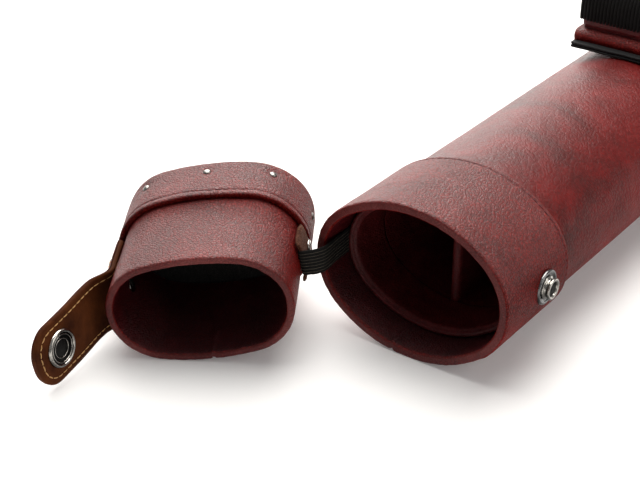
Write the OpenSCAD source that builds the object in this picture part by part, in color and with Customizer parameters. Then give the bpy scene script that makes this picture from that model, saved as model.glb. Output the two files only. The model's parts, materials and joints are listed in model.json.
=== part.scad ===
// Two-compartment cue case: a stiff oval tube wrapped in leatherette, with an open cap that
// hangs beside its mouth on an elastic tether and closes with a snap strap.
// Origin: on the floor below the mouth. +Y runs back along the tube, +X to the stud side, +Z up.

/* [Tube] */
// Length from the mouth to the back end
case_len = 770; // [700:10:850]
// Width of the mouth collar and of the back sleeve
collar_w = 100; // [96:0.5:106]
// Height of the mouth collar before its foot is flattened
collar_h = 76.8; // [75:0.2:80]
// Radius of the collar's rounded sides
collar_r = 32; // [30:0.5:34]
// Length of the mouth collar
collar_len = 55; // [50:1:65]
// Length of the sleeve round the back end
back_sleeve_len = 32; // [26:1:40]
// Depth of the inner tube's front ring behind the mouth
ring_depth = 17; // [14:0.5:19]
// Inset of the tube's surface from the collar's outside
tube_in = 2.6; // [2:0.1:4]
// Depth at which the divider starts
divider_depth = 42; // [30:1:60]
// Thickness of the divider board
divider_t = 2.6; // [2:0.2:4]
// Thickness of the foam at the bottom of each compartment
pad_t = 12; // [6:1:20]

/* [Cap] */
// Width of the cap
cap_w = 84.5; // [82:0.5:86]
// Height of the cap
cap_h = 54.4; // [53:0.1:58]
// Radius of the cap's rounded sides
cap_r = 25.7; // [25:0.1:26]
// Length of the cap
cap_len = 78; // [74:1:90]
// Length of the padded band round the cap's closed end
band_len = 30; // [24:1:34]
// Height of the padded band above the cap's side
band_rise = 3.2; // [2:0.2:4]
// How far the closed cap reaches into the mouth
plug_depth = 14; // [10:0.5:15]

/* [Tether] */
// Gap between the cap and the mouth when the cap is pulled out and swung across it
pull_gap = 2.5; // [2:0.5:4]
// Angle that the cap has swung away from the mouth
cap_swing = 148.43; // [120:0.01:152]
// Lean of the tether's turning axis away from upright
axis_lean = 5.2; // [4:0.1:6]
// Compass direction of that lean, from +X towards +Y
axis_lean_dir = -141.65; // [-150:0.05:-138]
// Width of the elastic band
elastic_w = 13; // [10:0.5:16]
// Thickness of the elastic band
elastic_t = 1.1; // [0.8:0.1:1.1]

/* [Strap] */
// Width of the snap strap
strap_w = 29; // [26:0.5:31]
// Thickness of the snap strap
strap_t = 3; // [2.6:0.2:3.2]
// Depth of the strap's fold line behind the cap's mouth
fold_depth = 20; // [16:1:24]
// Distance of the stud behind the case's mouth
stud_depth = 34; // [30:0.5:38]
// Outward swing of the open strap from the cap's side
strap_out = 23.5; // [18:0.5:30]
// Reach of the strap past the centre of the snap
tip_reach = 16; // [12:0.5:18]

/* [Handle] */
// Distance of the front pad behind the mouth
saddle_front = 210; // [190:5:230]
// Length of each pad
saddle_len = 38; // [32:1:46]
// Length from the front pad's front to the rear pad's back
handle_len = 220; // [200:2:240]
// Width of the grip
web_w = 66; // [50:2:68]
// Thickness of the grip
web_t = 4; // [3:0.5:5]
// Height of the grip above the floor
web_top = 112; // [104:1:118]

/* [Hidden] */
$fn = 96;
tiny = 0.02;

// Walls of the case, as insets from the collar's outside
foot_trim = 0.4;
axis_z = collar_h / 2 - foot_trim;
collar_skin = 1.5;
lining_in = 3.5;
sleeve_t = 4.5;
tube_skin = 1.2;
core_out = sleeve_t + tube_skin;
core_in = core_out + 2.5;
liner_in = core_in + 1.2;
cover_lap = 15;
plug_len = 22;
end_skin = 2;
core_end = case_len - 3;

// Walls of the cap, as insets from the cap's outside
cap_skin = 1.4;
cap_lining = 2.8;
cap_wall = 3.6;
cap_plug_len = 18;
cap_core_end = cap_len - 3;
cap_drop = 1.5;

// Turning axis of the tether
hinge_pos = [-43.4, -21.08, axis_z];
hinge_axis = [
    sin(axis_lean) * cos(axis_lean_dir), sin(axis_lean) * sin(axis_lean_dir), cos(axis_lean)
];

// Snap: the strap's plane, its socket and the stud
stud_floor = collar_w / 2 - 1;
stud_base = stud_floor + 1.2;
stud_r = 4.8;
stud_h = 3.6;
shank_r = 1.8;
socket_r = 8.8;
socket_bore = 6.9;
fold_x = cap_w / 2 + 0.3 + strap_t / 2;
snap_x = collar_w / 2 + 6.4;
snap_run = fold_depth + stud_depth - plug_depth;
snap_lean = atan((snap_x - fold_x) / snap_run);
snap_reach = snap_run / cos(snap_lean) - 0.7;
rivet_depth = fold_depth + 13;
rivet_angles = [167, 193];

// Tacks, by the direction they point in the section
tack_angles = [0, 60, 90, 120, 180, 240, 270, 300];
sleeve_tack_inset = 6;
band_tack_inset = 9;
tack_r = 2.2;
tack_shank_r = 0.7;
tack_len = 11;

// Outline of an oval of four arcs that meet smoothly: radius r at the sides, flatter above
function top_r(w, h, r) = (pow(w / 2 - r, 2) + pow(h / 2, 2) - pow(r, 2)) / (h - 2 * r);
function join_x(w, h, r) = (w / 2 - r) * (1 + r / (top_r(w, h, r) - r));
function arc(c, r, a0, a1, n = 12) =
    [for (i = [0:n]) let (a = a0 + (a1 - a0) * i / n) [c[0] + r * cos(a), c[1] + r * sin(a)]];

module oval(w, h, r) {
    big_r = top_r(w, h, r);
    intersection() {
        translate([0, h / 2 - big_r]) circle(big_r);
        translate([0, big_r - h / 2]) circle(big_r);
        square([2 * join_x(w, h, r), h + 1], center = true);
    }
    for (side = [-1, 1]) translate([side * (w / 2 - r), 0]) circle(r);
}
module case_oval(inset) oval(collar_w - 2 * inset, collar_h - 2 * inset, collar_r - inset);
module cap_oval(inset) oval(cap_w - 2 * inset, cap_h - 2 * inset, cap_r - inset);

// Extrudes a section from one depth to another
module along(from, to) translate([0, to, 0]) rotate([90, 0, 0]) linear_extrude(to - from) children();
module case_shell(outer, inner, from, to)
    translate([0, 0, axis_z]) along(from, to) difference() {
        case_oval(outer);
        case_oval(inner);
    }
module case_slab(inset, from, to) translate([0, 0, axis_z]) along(from, to) case_oval(inset);
module cap_shell(outer, inner, from, to)
    along(from, to) difference() {
        cap_oval(outer);
        cap_oval(inner);
    }
module below_floor() translate([-100, -10, -20]) cube([200, case_len + 20, 20]);

// Points children outwards at a section's edge; their +X leaves the surface
module round_edge(w, h, r, angle) {
    big_r = top_r(w, h, r);
    join = atan2(big_r - h / 2, w / 2 - r);
    steep = abs(asin(sin(angle)));
    up = sign(sin(angle));
    side = sign(cos(angle));
    centre = steep < join ? [side * (w / 2 - r), 0] : [0, up * (h / 2 - big_r)];
    reach = steep < join ? r : big_r;
    translate([centre[0], 0, centre[1]]) rotate([0, -angle, 0]) translate([reach, 0, 0]) children();
}

// A domed tack: its head rises along +X and its shank runs inwards
dome_r = 2.6;
dome_drop = sqrt(pow(dome_r, 2) - pow(tack_r, 2));
module tack() rotate([0, 90, 0]) rotate_extrude() polygon(concat(
    [[0, -tack_len], [tack_shank_r, -tack_len], [tack_shank_r, 0]],
    arc([0, -dome_drop], dome_r, asin(dome_drop / dome_r), 90, 8)
));
module tack_hole() translate([-tack_len, 0, 0]) rotate([0, 90, 0]) cylinder(h = tack_len + 1, r = tack_shank_r);
module sleeve_tack_places()
    translate([0, case_len - sleeve_tack_inset, axis_z])
        for (a = tack_angles) if (a != 270) round_edge(collar_w, collar_h, collar_r, a) children();
module band_tack_places()
    translate([0, cap_len - band_tack_inset, 0])
        for (a = tack_angles)
            round_edge(cap_w + 2 * band_rise, cap_h + 2 * band_rise, cap_r + band_rise, a) children();
module sleeve_tack_holes() sleeve_tack_places() tack_hole();
module band_tack_holes() band_tack_places() tack_hole();

// ---- Case ----
module tube_core() color("#4a4038") difference() {
    case_shell(core_out, core_in, ring_depth + 2.5, core_end);
    sleeve_tack_holes();
}
module tube_cover() color("#6b2327") difference() {
    union() {
        case_shell(sleeve_t, core_out, collar_len - cover_lap, core_end);
        case_shell(tube_in, core_out - 0.5, collar_len, case_len - back_sleeve_len);
    }
    sleeve_tack_holes();
}
module stud_hole() translate([0, stud_depth, axis_z]) rotate([0, 90, 0]) cylinder(h = 60, r = shank_r);
module collar_core() color("#5b5048") difference() {
    case_shell(collar_skin, lining_in, collar_skin, collar_len);
    stud_hole();
}
module collar_cover() color("#6b2327") difference() {
    case_shell(0, sleeve_t, 0, collar_len);
    case_shell(collar_skin, lining_in, collar_skin, collar_len + 1);
    below_floor();
    stud_hole();
    translate([stud_floor, stud_depth, axis_z]) rotate([0, 90, 0]) cylinder(h = 5, r = 8);
}
module mouth_ring() color("#5a1c20") case_shell(core_out - 0.1, liner_in, ring_depth, ring_depth + 2.5);
module mouth_liner() color("#4a161a") case_shell(core_in, liner_in, ring_depth + 2.5, divider_depth);

module half_oval(inset, from_x) intersection() {
    case_oval(inset);
    translate([from_x, -collar_h]) square([collar_w, 2 * collar_h]);
}
module compartment_liner() translate([0, 0, axis_z]) along(divider_depth, case_len - plug_len - 3)
    difference() {
        half_oval(core_in, divider_t / 2);
        half_oval(liner_in, divider_t / 2 + 1.2);
    }
module end_pad() translate([0, 0, axis_z])
    along(case_len - plug_len - 3 - pad_t, case_len - plug_len - 3)
        half_oval(liner_in + 0.1, divider_t / 2 + 1.3);
module right_liner() color("#3a1114") compartment_liner();
module left_liner() color("#3a1114") mirror([1, 0, 0]) compartment_liner();
module right_end_pad() color("#333333") end_pad();
module left_end_pad() color("#333333") mirror([1, 0, 0]) end_pad();
module divider() color("#4a161a") translate([0, 0, axis_z])
    along(divider_depth, case_len - plug_len - 3) intersection() {
        case_oval(core_in);
        square([divider_t, collar_h], center = true);
    }
module end_plug() color("#c9a878") difference() {
    case_slab(core_in, case_len - plug_len - 3, core_end);
    sleeve_tack_holes();
}
module back_sleeve() color("#6b2327") difference() {
    case_shell(0, sleeve_t, case_len - back_sleeve_len, case_len);
    below_floor();
    sleeve_tack_holes();
}
module end_cover() color("#6b2327") case_slab(sleeve_t, core_end, core_end + end_skin);
module end_tacks() color("silver") sleeve_tack_places() tack();

// ---- Snap stud on the collar ----
module stud_place() translate([0, stud_depth, axis_z]) rotate([0, 90, 0]) children();
module stud_plate() color("silver") stud_place() rotate_extrude() polygon([
    [shank_r, stud_floor], [8, stud_floor], [8, stud_base + 0.2], [7.4, stud_base + 0.7],
    [6.8, stud_base + 0.2], [6.4, stud_base], [shank_r, stud_base]
]);
module stud_post() color("silver") stud_place() rotate_extrude() polygon([
    [shank_r, stud_base], [stud_r + 0.4, stud_base], [stud_r + 0.4, stud_base + 0.5],
    [stud_r - 0.7, stud_base + 1.1], [stud_r - 0.7, stud_base + 2], [stud_r, stud_base + 2.6],
    [stud_r, stud_base + 3.1], [stud_r - 0.6, stud_base + stud_h],
    [stud_r - 1.4, stud_base + stud_h], [stud_r - 2, stud_base + 3.1],
    [stud_r - 2, stud_base + 0.8], [shank_r, stud_base + 0.8]
]);
module stud_rivet() color("silver") stud_place() {
    head = collar_w / 2 - sleeve_t - 0.35;
    translate([0, 0, head - 0.7]) cylinder(h = 0.7, r = 4);
    translate([0, 0, head - tiny]) cylinder(h = stud_base + 0.8 - head + 2 * tiny, r = shank_r);
    translate([0, 0, stud_base + 0.8]) cylinder(h = 0.6, r = 2.6);
}

// ---- Handle: a leather pad at each end and a ribbed elastic grip between them ----
pad_half = 34;
pad_foot = 73;
pad_top = 83;
pad_round = 4;
keeper_half = 30;
keeper_top = 90;
binding_t = 4;
binding_top = 77.5;
handle_back = saddle_front + handle_len;
web_start = saddle_front + 4;
web_end = handle_back - 4;
web_round = 14;
module across(half) translate([-half, 0, 0]) rotate([90, 0, 90]) linear_extrude(2 * half) children();
module flip_handle() translate([0, saddle_front + handle_back, 0]) mirror([0, 1, 0]) children();
module above_tube() difference() {
    children();
    case_slab(tube_in, saddle_front - 20, handle_back + 20);
}
module saddle() above_tube() across(pad_half) polygon(concat(
    [[saddle_front, pad_foot]],
    arc([saddle_front + pad_round, pad_top - pad_round], pad_round, 180, 90, 8),
    [[saddle_front + saddle_len, pad_top], [saddle_front + saddle_len, pad_foot]]
));
module binding() above_tube() across(pad_half) translate([saddle_front - binding_t, pad_foot])
    square([binding_t, binding_top - pad_foot]);
module keeper() across(keeper_half) polygon([
    [saddle_front + 4, pad_top], [saddle_front + 3, keeper_top - 2], [saddle_front + 4, keeper_top],
    [saddle_front + 24, keeper_top], [saddle_front + saddle_len - 4, pad_top]
]);
module grip_section(drop) {
    r = web_round - drop;
    z = web_top - web_round;
    polygon(concat(
        [[web_start + drop, keeper_top]],
        arc([web_start + web_round, z], r, 180, 90),
        arc([web_end - web_round, z], r, 90, 0),
        [[web_end - drop, keeper_top]]
    ));
}
module front_saddle() color("#6b2327") saddle();
module rear_saddle() color("#6b2327") flip_handle() saddle();
module front_binding() color("#161616") binding();
module rear_binding() color("#161616") flip_handle() binding();
module front_keeper() color("#5a1c20") keeper();
module rear_keeper() color("#5a1c20") flip_handle() keeper();
module handle_webbing() color("#1c1c1c") across(web_w / 2) difference() {
    grip_section(0);
    grip_section(web_t);
}

// ---- Places of the open cap and of its strap ----
module cap_place()
    translate(hinge_pos) rotate(a = -cap_swing, v = hinge_axis) translate(-hinge_pos)
        translate([0, -pull_gap, axis_z - cap_drop]) rotate([0, 0, 180]) children();
module strap_place()
    cap_place() translate([-fold_x, fold_depth, 0]) rotate([0, 0, -strap_out]) children();

// ---- Tether ----
// The elastic's line on the floor plan, from inside the collar round to the cap's side
lining_x = -(collar_w / 2 - sleeve_t);
anchor_from = 12;
tether_line = [
    [lining_x + 1.6, anchor_from], [-43.6, 6], [-42.9, 1], [-42.7, -3.5], [-44.2, -7.5], [-45.7, -9.4]
];
module band_plan(points, t) {
    last = len(points) - 1;
    normals = [for (i = [0:last])
        let (d = points[min(i + 1, last)] - points[max(i - 1, 0)]) [d[1], -d[0]] / norm(d) * t / 2];
    polygon(concat(
        [for (i = [0:last]) points[i] + normals[i]],
        [for (i = [last:-1:0]) points[i] - normals[i]]
    ));
}
module tether_anchor() color("#161616") intersection() {
    case_shell(sleeve_t + 0.02, sleeve_t + elastic_t, anchor_from, anchor_from + 22);
    translate([-collar_w, 0, axis_z - elastic_w / 2]) cube([collar_w, collar_len, elastic_w]);
}
module tether_elastic() color("#161616")
    translate([0, 0, axis_z - elastic_w / 2]) linear_extrude(elastic_w) band_plan(tether_line, elastic_t);
module cap_side_patch(side, inner, outer, from, to, width)
    intersection() {
        cap_shell(-outer, -inner, from, to);
        translate([side > 0 ? 0 : -cap_w, from, -width / 2]) cube([cap_w, to - from, width]);
    }
tail_t = 1.2;
patch_from = 29.5;
patch_to = 47;
patch_w = 22;
eyelet_depth = 42;
module cap_side_hole(angle, depth, r)
    translate([0, depth, 0]) round_edge(cap_w, cap_h, cap_r, angle)
        translate([-8, 0, 0]) rotate([0, 90, 0]) cylinder(h = 16, r = r);
module tether_tail() color("#161616") cap_place() difference() {
    cap_side_patch(1, 0.05, tail_t, patch_from + 1, patch_to, elastic_w);
    cap_side_hole(0, eyelet_depth, 1.6);
}
module tether_patch() color("#5a3020") cap_place() difference() {
    cap_side_patch(1, tail_t, tail_t + 1.8, patch_from, patch_to, patch_w);
    cap_side_hole(0, eyelet_depth, 1.6);
}

// ---- Rivets through the cap's wall: a head outside, a shank and a washer inside ----
module cap_rivet(angle, depth, stack, head_r)
    translate([0, depth, 0]) round_edge(cap_w, cap_h, cap_r, angle) rotate([0, 90, 0]) {
        translate([0, 0, stack]) cylinder(h = 1, r1 = head_r, r2 = head_r - 0.9);
        translate([0, 0, -cap_wall - 1]) cylinder(h = stack + cap_wall + 1 + tiny, r = 1.6);
        translate([0, 0, -cap_wall - 1.6]) cylinder(h = 0.8, r = 3.4);
    }
module tether_eyelet() color("silver") cap_place() cap_rivet(0, eyelet_depth, tail_t + 1.8, 3.6);
module strap_rivets() color("silver") cap_place()
    for (a = rivet_angles) cap_rivet(a, rivet_depth, strap_t + 0.2, 3.8);
module cap_wall_holes() {
    cap_side_hole(0, eyelet_depth, 1.6);
    for (a = rivet_angles) cap_side_hole(a, rivet_depth, 1.6);
}

// ---- Cap ----
module cap_core() color("#5b5048") cap_place() difference() {
    cap_shell(cap_skin, cap_lining, cap_skin, cap_core_end);
    cap_wall_holes();
    band_tack_holes();
}
module cap_cover() color("#6b2327") cap_place() difference() {
    cap_shell(0, cap_wall, 0, cap_core_end);
    cap_shell(cap_skin, cap_lining, cap_skin, cap_core_end + 1);
    cap_wall_holes();
    band_tack_holes();
}
module cap_band() color("#6b2327") cap_place() difference() {
    cap_shell(-band_rise, 0, cap_len - band_len, cap_len);
    band_tack_holes();
}
module cap_plug() color("#c9a878") cap_place() difference() {
    along(cap_core_end - cap_plug_len, cap_core_end) cap_oval(cap_wall);
    band_tack_holes();
}
module cap_end_lining() color("#1a1a1a") cap_place()
    along(cap_core_end - cap_plug_len - 1.4, cap_core_end - cap_plug_len) cap_oval(cap_wall);
module cap_end_cover() color("#6b2327") cap_place() along(cap_core_end, cap_core_end + 1.8) cap_oval(0);
module cap_tacks() color("silver") cap_place() band_tack_places() tack();

// ---- Strap ----
strap_len = snap_reach + tip_reach;
tip_round = 12;
module strap_outline() {
    half = strap_w / 2;
    polygon(concat(
        [[0, -half]],
        arc([strap_len - tip_round, tip_round - half], tip_round, -90, 0),
        arc([strap_len - tip_round, half - tip_round], tip_round, 0, 90),
        [[0, half]]
    ));
}
// A layer of the strap between two heights above its middle plane, +X being the cap's side
module strap_layer(from, to) rotate([0, 0, -90]) rotate([90, 0, 0])
    translate([0, 0, -to]) linear_extrude(to - from) strap_outline();
module snap_place() translate([0, -snap_reach, 0]) rotate([0, 90, 0]) children();
module snap_hole(r) snap_place() translate([0, 0, -5]) cylinder(h = 10, r = r);
module strap_root() color("#6b2327") cap_place() difference() {
    cap_side_patch(-1, 0.2, strap_t + 0.2, fold_depth + 2.2, fold_depth + 27, strap_w);
    for (a = rivet_angles) cap_side_hole(a, rivet_depth, 1.6);
}
module strap_face() color("#6b2327") strap_place() difference() {
    strap_layer(-strap_t / 2, 0);
    snap_hole(2.2);
}
module strap_backing() color("#5a3018") strap_place() difference() {
    strap_layer(0, strap_t / 2);
    snap_hole(socket_bore + 0.7);
}
module snap_cap() color("silver") strap_place() snap_place() {
    intersection() {
        translate([0, 0, -strap_t / 2 + 15]) sphere(16.9);
        translate([0, 0, -strap_t / 2 - 3]) cylinder(h = 3, r = 7.6);
    }
    translate([0, 0, -strap_t / 2 - tiny]) cylinder(h = strap_t / 2 + tiny, r = 2.2);
}
module snap_socket() color("silver") strap_place() snap_place() rotate_extrude() {
    rim = strap_t / 2;
    polygon([
        [0, 0], [socket_bore + 0.7, 0], [socket_bore + 0.7, rim], [socket_r, rim],
        [socket_r, rim + 1], [socket_r - 0.6, rim + 1.6], [socket_bore + 0.6, rim + 1.6],
        [socket_bore, rim + 1.1], [socket_bore, 0.5], [0, 0.5]
    ]);
}
module snap_spring() color("silver") strap_place() snap_place() translate([0, 0, 2]) difference() {
    cylinder(h = 0.6, r = socket_bore);
    translate([0, 0, -1]) cylinder(h = 3, r = socket_bore - 0.7);
}

tube_core();
tube_cover();
collar_core();
collar_cover();
mouth_ring();
mouth_liner();
left_liner();
right_liner();
divider();
left_end_pad();
right_end_pad();
end_plug();
back_sleeve();
end_cover();
end_tacks();
stud_plate();
stud_post();
stud_rivet();
front_saddle();
rear_saddle();
front_binding();
rear_binding();
front_keeper();
rear_keeper();
handle_webbing();
tether_anchor();
tether_elastic();
cap_core();
cap_cover();
cap_band();
cap_plug();
cap_end_lining();
cap_end_cover();
cap_tacks();
tether_tail();
tether_patch();
tether_eyelet();
strap_root();
strap_rivets();
strap_face();
strap_backing();
snap_cap();
snap_socket();
snap_spring();
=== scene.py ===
"""The looks of the cue case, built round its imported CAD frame.

Lengths in the helpers are millimetres in the CAD frame: +Y runs back along the tube from the
mouth, +X to the stud side, +Z up. Meshes are scaled to metres when they are made.
"""

import json
import math

import bmesh
import bpy
import numpy as np
from mathutils import Matrix, Vector, noise

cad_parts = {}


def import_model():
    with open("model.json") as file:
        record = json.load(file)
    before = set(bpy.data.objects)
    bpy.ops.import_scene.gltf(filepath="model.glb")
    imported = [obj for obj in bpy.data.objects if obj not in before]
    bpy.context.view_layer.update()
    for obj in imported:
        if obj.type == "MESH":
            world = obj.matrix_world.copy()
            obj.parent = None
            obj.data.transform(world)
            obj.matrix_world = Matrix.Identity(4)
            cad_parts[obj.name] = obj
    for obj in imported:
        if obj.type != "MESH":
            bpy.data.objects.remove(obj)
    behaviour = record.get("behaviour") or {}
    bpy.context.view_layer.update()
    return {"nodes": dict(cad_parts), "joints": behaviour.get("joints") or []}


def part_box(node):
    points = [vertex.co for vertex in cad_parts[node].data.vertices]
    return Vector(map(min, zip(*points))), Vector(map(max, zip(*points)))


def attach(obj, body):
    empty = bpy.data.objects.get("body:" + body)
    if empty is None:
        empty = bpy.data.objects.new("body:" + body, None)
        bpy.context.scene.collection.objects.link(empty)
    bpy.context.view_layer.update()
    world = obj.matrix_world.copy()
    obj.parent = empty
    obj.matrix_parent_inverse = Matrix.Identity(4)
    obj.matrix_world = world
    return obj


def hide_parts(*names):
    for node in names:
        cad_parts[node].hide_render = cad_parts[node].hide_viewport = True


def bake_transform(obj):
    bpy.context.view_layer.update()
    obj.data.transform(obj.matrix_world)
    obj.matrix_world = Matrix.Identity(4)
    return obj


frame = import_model()

MM = 0.001
JOINTS = {j["name"]: j for j in frame["joints"]}


def box_mm(node):
    """Lowest and highest corner of a CAD node, in millimetres."""
    low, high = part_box(node)
    return np.array(low) / MM, np.array(high) / MM


# ---- Driving sizes, as in the CAD model; SNAP_REACH is rounded to a tenth ----
COLLAR_W, COLLAR_H, COLLAR_R = 100.0, 76.8, 32.0
FOOT_TRIM = 0.4
AXIS_Z = COLLAR_H / 2 - FOOT_TRIM
COLLAR_LEN = box_mm("collar_cover")[1][1]
CASE_LEN = box_mm("back_sleeve")[1][1]
SLEEVE_START = box_mm("back_sleeve")[0][1]
RING_DEPTH = box_mm("mouth_ring")[0][1]
DIVIDER_DEPTH = box_mm("divider")[0][1]
SLEEVE_T, TUBE_IN, CORE_OUT, LINER_IN = 4.5, 2.6, 5.7, 9.4
CAP_W, CAP_H, CAP_R, CAP_LEN = 84.5, 54.4, 25.7, 78.0
CAP_WALL, BAND_RISE, BAND_LEN = 3.6, 3.2, 30.0
PULL_GAP, CAP_DROP = 2.5, 1.5
STUD_DEPTH, STUD_H = 34.0, 3.6
FOLD_DEPTH, STRAP_OUT, STRAP_W, STRAP_T = 20.0, 23.5, 29.0, 3.0
SNAP_REACH, TIP_REACH, TIP_ROUND = 41.2, 16.0, 12.0
ROOT_END, RIVET_DEPTH = 27.0, 33.0
PATCH_FROM, PATCH_TO, PATCH_W, EYELET_DEPTH = 29.5, 47.0, 22.0, 42.0
ELASTIC_W = 13.0
SLEEVE_TACK_INSET, BAND_TACK_INSET = 6.0, 9.0
TACK_ANGLES = (0, 60, 90, 120, 180, 240, 270, 300)
RIVET_ANGLES = (167, 193)
SADDLE_FRONT, HANDLE_LEN = 210.0, 220.0
PAD_HALF, PAD_FOOT, PAD_TOP = 34.0, 73.0, 83.0
KEEPER_HALF, KEEPER_TOP = 30.0, 90.0
WEB_W, WEB_T, WEB_TOP = 66.0, 4.0, 112.0


# ---- Camera, at the photograph's viewing angle ----
def make_camera():
    data = bpy.data.cameras.new("camera")
    data.sensor_width = 36
    data.lens = 84.0
    data.clip_start = 0.01
    camera = bpy.data.objects.new("camera", data)
    pitch_down, turned_left = 0.52, 0.633
    camera.location = (0.3002, -0.4742, 0.376)
    camera.rotation_euler = (math.pi / 2 - pitch_down, 0, turned_left)
    bpy.context.scene.collection.objects.link(camera)
    bpy.context.scene.camera = camera


make_camera()


# ---- Placing: the open cap and its strap ----
def turn(degrees, axis):
    return Matrix.Rotation(math.radians(degrees), 4, Vector(axis))


def cap_matrix():
    swing = JOINTS["cap_swing"]
    pivot = Vector(swing["pos_m"]) / MM
    closed = Matrix.Translation((0, -PULL_GAP, AXIS_Z - CAP_DROP)) @ turn(180, (0, 0, 1))
    opened = turn(-swing["range_deg"][1], swing["axis"])
    return Matrix.Translation(pivot) @ opened @ Matrix.Translation(-pivot) @ closed


CASE_PLACE = Matrix.Translation((0, 0, AXIS_Z))
CAP_PLACE = cap_matrix()
FOLD_X = CAP_W / 2 + 0.3 + STRAP_T / 2
STRAP_PLACE = CAP_PLACE @ Matrix.Translation((-FOLD_X, FOLD_DEPTH, 0)) @ turn(-STRAP_OUT, (0, 0, 1))


# ---- Mesh helpers ----
def grid_faces(rows, cols, wrap_rows=False, wrap_cols=False):
    faces = []
    for i in range(rows if wrap_rows else rows - 1):
        for j in range(cols if wrap_cols else cols - 1):
            i2, j2 = (i + 1) % rows, (j + 1) % cols
            faces.append((i * cols + j, i * cols + j2, i2 * cols + j2, i2 * cols + j))
    return faces


def piece(name, points, faces, material, body, slot, place=None, replaces=()):
    """A mesh piece from points in millimetres, riding on a body."""
    points = np.asarray(points, float).reshape(-1, 3)
    if place is not None:
        m = np.array(place)
        points = points @ m[:3, :3].T + m[:3, 3]
    mesh = bpy.data.meshes.new(name)
    mesh.from_pydata((points * MM).tolist(), [], faces)
    mesh.validate()
    obj = bpy.data.objects.new(name, mesh)
    bpy.context.scene.collection.objects.link(obj)
    mesh.shade_smooth()
    recalculate_normals(obj)
    mesh.materials.append(material)
    if body:
        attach(obj, body)
    if replaces:
        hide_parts(*replaces)
    return obj


def recalculate_normals(obj):
    work = bmesh.new()
    work.from_mesh(obj.data)
    bmesh.ops.recalc_face_normals(work, faces=work.faces)
    work.to_mesh(obj.data)
    work.free()


def soft_noise(p, scale):
    return noise.noise(Vector(p) * scale)


class Oval:
    """A closed section of four arcs, sampled evenly from the middle of its underside."""

    def __init__(self, w, h, r, count=320):
        big = ((w / 2 - r) ** 2 + (h / 2) ** 2 - r * r) / (h - 2 * r)
        join = math.atan2(big - h / 2, w / 2 - r)
        quarter = math.pi / 2
        arcs = [
            ((0, big - h / 2), big, -quarter, -join), ((w / 2 - r, 0), r, -join, join),
            ((0, h / 2 - big), big, join, math.pi - join),
            ((r - w / 2, 0), r, math.pi - join, math.pi + join),
            ((0, big - h / 2), big, math.pi + join, 3 * quarter),
        ]
        self.length = sum(radius * (a1 - a0) for _, radius, a0, a1 in arcs)
        self.count = count
        self.along = np.arange(count) * self.length / count
        self.points = np.zeros((count, 2))
        self.normals = np.zeros((count, 2))
        for i, s in enumerate(self.along):
            for centre, radius, a0, a1 in arcs:
                if s <= radius * (a1 - a0) + 1e-9:
                    break
                s -= radius * (a1 - a0)
            a = a0 + s / radius
            self.normals[i] = math.cos(a), math.sin(a)
            self.points[i] = np.array(centre) + radius * self.normals[i]

    def ring(self, y, inset):
        """Points at depth y, that far inside the section; inset may be one number per point."""
        flat = self.points - self.normals * np.reshape(inset, (-1, 1))
        return np.column_stack([flat[:, 0], np.full(self.count, y), flat[:, 1]])

    def at(self, s):
        """Point and outward normal at a distance s round the section."""
        i = s / self.length * self.count % self.count
        k, f = int(i), i - int(i)
        k2 = (k + 1) % self.count
        point = self.points[k] * (1 - f) + self.points[k2] * f
        normal = self.normals[k] * (1 - f) + self.normals[k2] * f
        return point, normal / np.linalg.norm(normal)

    def facing(self, degrees):
        """Point and normal where the section faces a direction."""
        want = np.array([math.cos(math.radians(degrees)), math.sin(math.radians(degrees))])
        k = int(np.argmax(self.normals @ want))
        return self.points[k], want


CASE_OVAL = Oval(COLLAR_W, COLLAR_H, COLLAR_R)
CAP_OVAL = Oval(CAP_W, CAP_H, CAP_R)


def dense(profile, step):
    """The profile with its long stretches divided, as (depth, inset) pairs."""
    out = []
    for (y0, d0), (y1, d1) in zip(profile, profile[1:]):
        n = max(1, int(math.hypot(y1 - y0, d1 - d0) / step))
        out += [(y0 + (y1 - y0) * k / n, d0 + (d1 - d0) * k / n) for k in range(n)]
    out.append(profile[-1])
    return out


def skin(name, oval, profile, material, body, slot, place, relief=None, step=2.0, zones=(), **options):
    """A closed skin: the profile's loop carried round the section. relief(x, y, z, s, inset)
    gives how far a point stands out. Each zone is a material and a test of depth and inset that
    says where it shows."""
    loop = dense(profile + [profile[0]], step)[:-1]
    rings = []
    for y, inset in loop:
        ring = oval.ring(y, inset)
        if relief:
            out = np.array([relief(*ring[i], oval.along[i], inset) for i in range(oval.count)])
            ring = oval.ring(y, inset - out)
        rings.append(ring)
    points = np.concatenate(rings)
    obj = piece(name, points, grid_faces(len(loop), oval.count, True, True),
                material, body, slot, place, **options)
    for zone_material, test in zones:
        obj.data.materials.append(zone_material)
        for face in obj.data.polygons:
            row = face.index // oval.count
            if test(*loop[row]) and test(*loop[(row + 1) % len(loop)]):
                face.material_index = len(obj.data.materials) - 1
    return obj


def mouth_zones(wall):
    """Painted light round a mouth: a pinker copy of the leather with sheen at every facing on its edge, a
    painted highlight, and a darker copy inside it, painted shade.
    """
    return [(SHADED_INNER_LEATHER, lambda y, inset: inset > wall - 0.25),
            (LIT_RIM_LEATHER, lambda y, inset: y < 0.6 and 0.3 < inset < wall - 0.3)]


def revolve(profile, segments):
    """Points and faces of (radius, height) pairs turned about +X; closed where radius is 0."""
    angles = np.linspace(0, 2 * math.pi, segments, endpoint=False)
    points = [(h, r * math.cos(a), r * math.sin(a)) for r, h in profile for a in angles]
    return np.array(points), grid_faces(len(profile), segments, False, True)


def merge(parts):
    """Joins (points, faces) pairs."""
    points, faces, start = [], [], 0
    for p, f in parts:
        points.append(np.asarray(p, float).reshape(-1, 3))
        faces += [tuple(v + start for v in face) for face in f]
        start += len(points[-1])
    return np.concatenate(points), faces


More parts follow.
